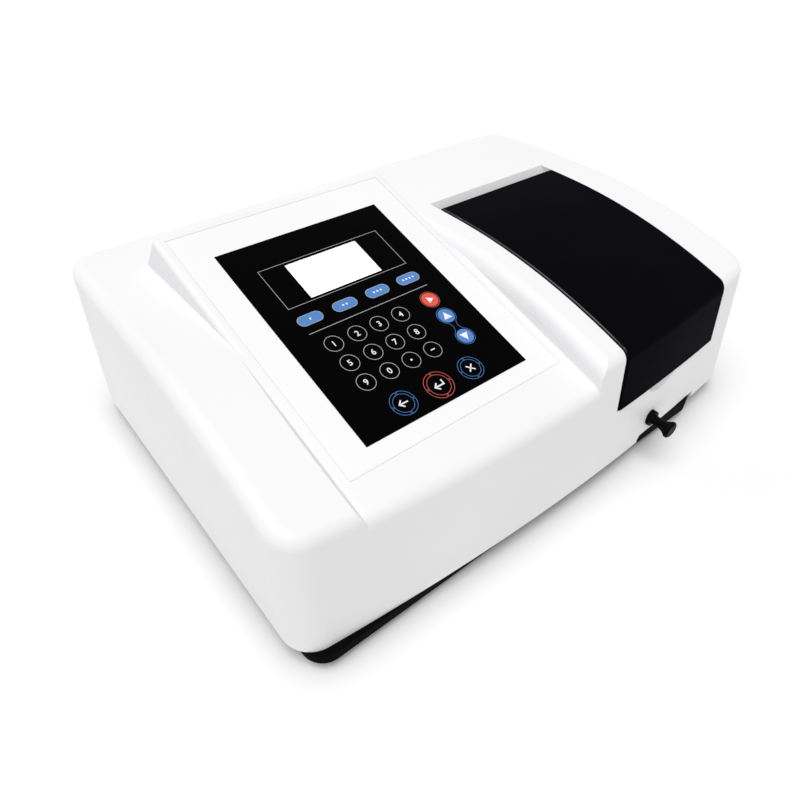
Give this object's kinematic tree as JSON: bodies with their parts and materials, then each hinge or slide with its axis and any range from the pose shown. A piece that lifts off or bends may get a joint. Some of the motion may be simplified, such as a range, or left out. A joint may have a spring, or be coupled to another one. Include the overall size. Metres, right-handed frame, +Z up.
{
  "type": "uv-vis spectrophotometer",
  "caption": "Bench spectrophotometer with a sloping keypad console, a hinged lid over the sample chamber and a cuvette rack moved by a pull rod.",
  "frame": {"origin": "on the bench, under the middle of the instrument's bounding box", "axes": "+X to the user's right along the front, +Y from the front to the back, +Z up"},
  "size_m": [0.4764, 0.349, 0.1708],
  "materials": {
    "cover_white": "satin moulded",
    "insert_white": "satin moulded",
    "film_black": "printed polyester film, satin gloss",
    "window_clear": "clear, polished",
    "display_pale": "matte display glass in a frame",
    "board_green": "solder mask",
    "steel_screws": "zinc plated",
    "tray_black": "fine matte texture",
    "feet_rubber": "matte",
    "plate_grey": "powder coat",
    "socket_black": "matte moulded",
    "contact_metal": "plated",
    "chamber_black": "black anodised",
    "optic_glass": "polished",
    "lid_black": "satin moulded",
    "seal_foam": "soft matte",
    "rack_black": "black anodised",
    "rod_steel": "ground",
    "knob_black": "satin moulded",
    "bush_black": "satin moulded",
    "cast_case": "as cast",
    "mirror_metal": "polished",
    "drive_metal": "turned",
    "motor_black": "painted",
    "sheet_zinc": "plated sheet",
    "lamp_glass": "clear",
    "pillar_brass": "turned"
  },
  "bodies": {
    "case": {"top_cover": "cover_white", "control_panel": "insert_white", "keypad_film": "film_black", "lcd_window": "window_clear", "lcd_module": "display_pale", "keyboard_board": "board_green", "panel_screws": "steel_screws", "base_tray": "tray_black", "rubber_feet": "feet_rubber", "foot_screws": "steel_screws", "cover_screws": "steel_screws", "rear_plate": "plate_grey", "rear_screws": "steel_screws", "power_inlet": "socket_black", "switch_frame": "socket_black", "data_ports": "contact_metal", "fan_frame": "socket_black", "fan_guard": "contact_metal", "chamber_floor": "chamber_black", "chamber_left_wall": "chamber_black", "chamber_right_wall": "chamber_black", "chamber_front_wall": "chamber_black", "chamber_back_wall": "chamber_black", "beam_lenses": "optic_glass", "lid_seal": "seal_foam", "carriage_rails": "chamber_black", "rod_bush": "bush_black", "mono_case": "cast_case", "mono_cover": "cast_case", "grating_bearing": "pillar_brass", "screw_bearing": "drive_metal", "stepper_motor": "motor_black", "mono_mirrors": "mirror_metal", "slit_plates": "chamber_black", "lamp_house": "sheet_zinc", "tungsten_lamp": "lamp_glass", "deuterium_lamp": "lamp_glass", "source_motor": "motor_black", "filter_motor": "motor_black", "detector_housing": "cast_case", "power_supply": "sheet_zinc", "main_board": "board_green", "board_standoffs": "pillar_brass"},
    "lid": {"chamber_lid": "lid_black", "lid_pins": "rod_steel"},
    "carriage": {"rack_base": "rack_black", "rack_sides": "rack_black", "rack_dividers": "rack_black", "rack_end_plate": "rack_black", "pull_rod": "rod_steel", "pull_knob": "knob_black"},
    "rocker": {"switch_rocker": "socket_black"},
    "fan": {"fan_rotor": "socket_black"},
    "drive_screw": {"lead_screw": "drive_metal"},
    "drive_nut": {"screw_nut": "pillar_brass"},
    "grating_turntable": {"grating_table": "drive_metal", "grating": "mirror_metal"},
    "wheel": {"filter_wheel": "rack_black"},
    "lamp_mirror": {"source_mirror": "mirror_metal"}
  },
  "joints": [
    {"name": "lid_hinge", "type": "hinge", "parent": "case", "child": "lid", "pos_m": [0.12, 0.0542, 0.1425], "axis": [-1, 0, 0], "range_deg": [0, 100]},
    {"name": "rod_slide", "type": "slide", "parent": "case", "child": "carriage", "axis": [0, -1, 0], "range_m": [0, 0.054]},
    {"name": "switch_rock", "type": "hinge", "parent": "case", "child": "rocker", "pos_m": [-0.14, 0.167, 0.088], "axis": [0, 0, 1], "range_deg": [0, 16.5]},
    {"name": "fan_spin", "type": "hinge", "parent": "case", "child": "fan", "pos_m": [0.014, 0.163, 0.066], "axis": [0, 1, 0], "continuous": true},
    {"name": "screw_turn", "type": "hinge", "parent": "case", "child": "drive_screw", "pos_m": [0.031, 0.025, 0.0325], "axis": [0, 1, 0], "range_deg": [0, 2880.5]},
    {"name": "nut_slide", "type": "slide", "parent": "case", "child": "drive_nut", "axis": [0, -1, 0], "range_m": [0, 0.016]},
    {"name": "grating_turn", "type": "hinge", "parent": "case", "child": "grating_turntable", "pos_m": [-0.03, 0.03, 0.0325], "axis": [0, 0, -1], "range_deg": [0, 18.67]},
    {"name": "wheel_turn", "type": "hinge", "parent": "case", "child": "wheel", "pos_m": [0.005, 0.077, 0.05], "axis": [0, 1, 0], "continuous": true},
    {"name": "mirror_turn", "type": "hinge", "parent": "case", "child": "lamp_mirror", "pos_m": [0.02, 0.106, 0.04], "axis": [0, 0, -1], "range_deg": [0, 22.5]}
  ],
  "couplings": [
    {"joint": "screw_turn", "follows": "nut_slide", "rad_per_m": 3141.6},
    {"joint": "grating_turn", "follows": "nut_slide", "rad_per_m": 20.354}
  ]
}
